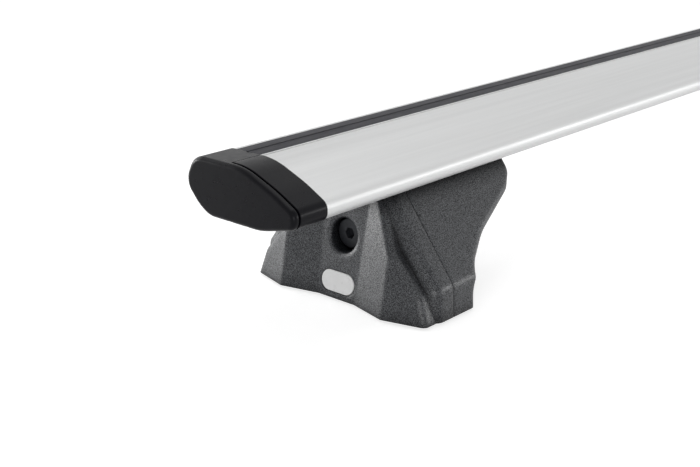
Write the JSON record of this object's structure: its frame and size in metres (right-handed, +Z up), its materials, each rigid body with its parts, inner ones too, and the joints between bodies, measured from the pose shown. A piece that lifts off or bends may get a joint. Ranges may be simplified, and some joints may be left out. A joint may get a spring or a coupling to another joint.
{
  "type": "roof rack crossbar",
  "caption": "Wing-section aluminium crossbar with rubber slot strip, black end caps with hinged lids, and dark plastic feet clamped from below by a recessed screw",
  "frame": {"origin": "on the roof plane, under the middle of the bar", "axes": "+X along the bar, +Y towards the blunt rear edge of the wing section, +Z up"},
  "size_m": [1.18, 0.1304, 0.0948],
  "materials": {
    "bar_aluminium": "satin anodised, fine lengthwise drawing lines",
    "strip_rubber": "matt extruded rubber",
    "cap_plastic": "satin moulded plastic, fine grain",
    "cover_plastic": "grained moulded plastic",
    "cast_core": "coated casting",
    "pad_rubber": "matt moulded rubber",
    "black_steel": "black oxide, satin",
    "plated_steel": "zinc plated",
    "badge_white": "bare glossy plate"
  },
  "bodies": {
    "bar": {"bar_profile": "bar_aluminium", "top_slot_strip": "strip_rubber", "end_cap_collar_left": "cap_plastic", "end_cap_collar_right": "cap_plastic", "lid_hinge_pin_left": "plated_steel", "lid_hinge_pin_right": "plated_steel"},
    "left_foot": {"outer_cover_left": "cover_plastic", "inner_cover_left": "cover_plastic", "foot_core_left": "cast_core", "base_pad_left": "pad_rubber", "screw_washer_left": "plated_steel", "badge_plate_left": "badge_white", "cover_screws_left": "plated_steel"},
    "left_screw": {"clamp_screw_left": "black_steel", "retaining_ring_left": "plated_steel"},
    "left_wedge": {"wedge_nut_left": "plated_steel"},
    "left_clamp": {"channel_clamp_left": "plated_steel"},
    "left_lid": {"end_cap_lid_left": "cap_plastic"},
    "right_foot": {"outer_cover_right": "cover_plastic", "inner_cover_right": "cover_plastic", "foot_core_right": "cast_core", "base_pad_right": "pad_rubber", "screw_washer_right": "plated_steel", "badge_plate_right": "badge_white", "cover_screws_right": "plated_steel"},
    "right_screw": {"clamp_screw_right": "black_steel", "retaining_ring_right": "plated_steel"},
    "right_wedge": {"wedge_nut_right": "plated_steel"},
    "right_clamp": {"channel_clamp_right": "plated_steel"},
    "right_lid": {"end_cap_lid_right": "cap_plastic"}
  },
  "joints": [
    {"name": "left_foot_slide", "type": "slide", "parent": "bar", "child": "left_foot", "axis": [1, 0, 0], "range_m": [-0.02, 0.3]},
    {"name": "left_screw_turn", "type": "hinge", "parent": "left_foot", "child": "left_screw", "pos_m": [-0.5051, 0, 0.0376], "axis": [-1, 0, 0], "range_deg": [0, 1728]},
    {"name": "left_wedge_slide", "type": "slide", "parent": "left_foot", "child": "left_wedge", "axis": [1, 0, 0], "range_m": [0, 0.00601]},
    {"name": "left_clamp_lift", "type": "slide", "parent": "left_foot", "child": "left_clamp", "axis": [0, 0, 1], "range_m": [0, 0.00121]},
    {"name": "left_lid_hinge", "type": "hinge", "parent": "bar", "child": "left_lid", "pos_m": [-0.5877, 0, 0.0654], "axis": [0, -1, 0], "range_deg": [0, 95]},
    {"name": "right_foot_slide", "type": "slide", "parent": "bar", "child": "right_foot", "axis": [-1, 0, 0], "range_m": [-0.02, 0.3]},
    {"name": "right_screw_turn", "type": "hinge", "parent": "right_foot", "child": "right_screw", "pos_m": [0.5051, 0, 0.0376], "axis": [1, 0, 0], "range_deg": [0, 1728]},
    {"name": "right_wedge_slide", "type": "slide", "parent": "right_foot", "child": "right_wedge", "axis": [-1, 0, 0], "range_m": [0, 0.00601]},
    {"name": "right_clamp_lift", "type": "slide", "parent": "right_foot", "child": "right_clamp", "axis": [0, 0, 1], "range_m": [0, 0.00121]},
    {"name": "right_lid_hinge", "type": "hinge", "parent": "bar", "child": "right_lid", "pos_m": [0.5877, 0, 0.0654], "axis": [0, 1, 0], "range_deg": [0, 95]}
  ],
  "couplings": [
    {"joint": "left_wedge_slide", "follows": "left_screw_turn", "m_per_rad": 0.00019894},
    {"joint": "left_clamp_lift", "follows": "left_screw_turn", "m_per_rad": 0.000039789},
    {"joint": "right_wedge_slide", "follows": "right_screw_turn", "m_per_rad": 0.00019894},
    {"joint": "right_clamp_lift", "follows": "right_screw_turn", "m_per_rad": 0.000039789}
  ]
}
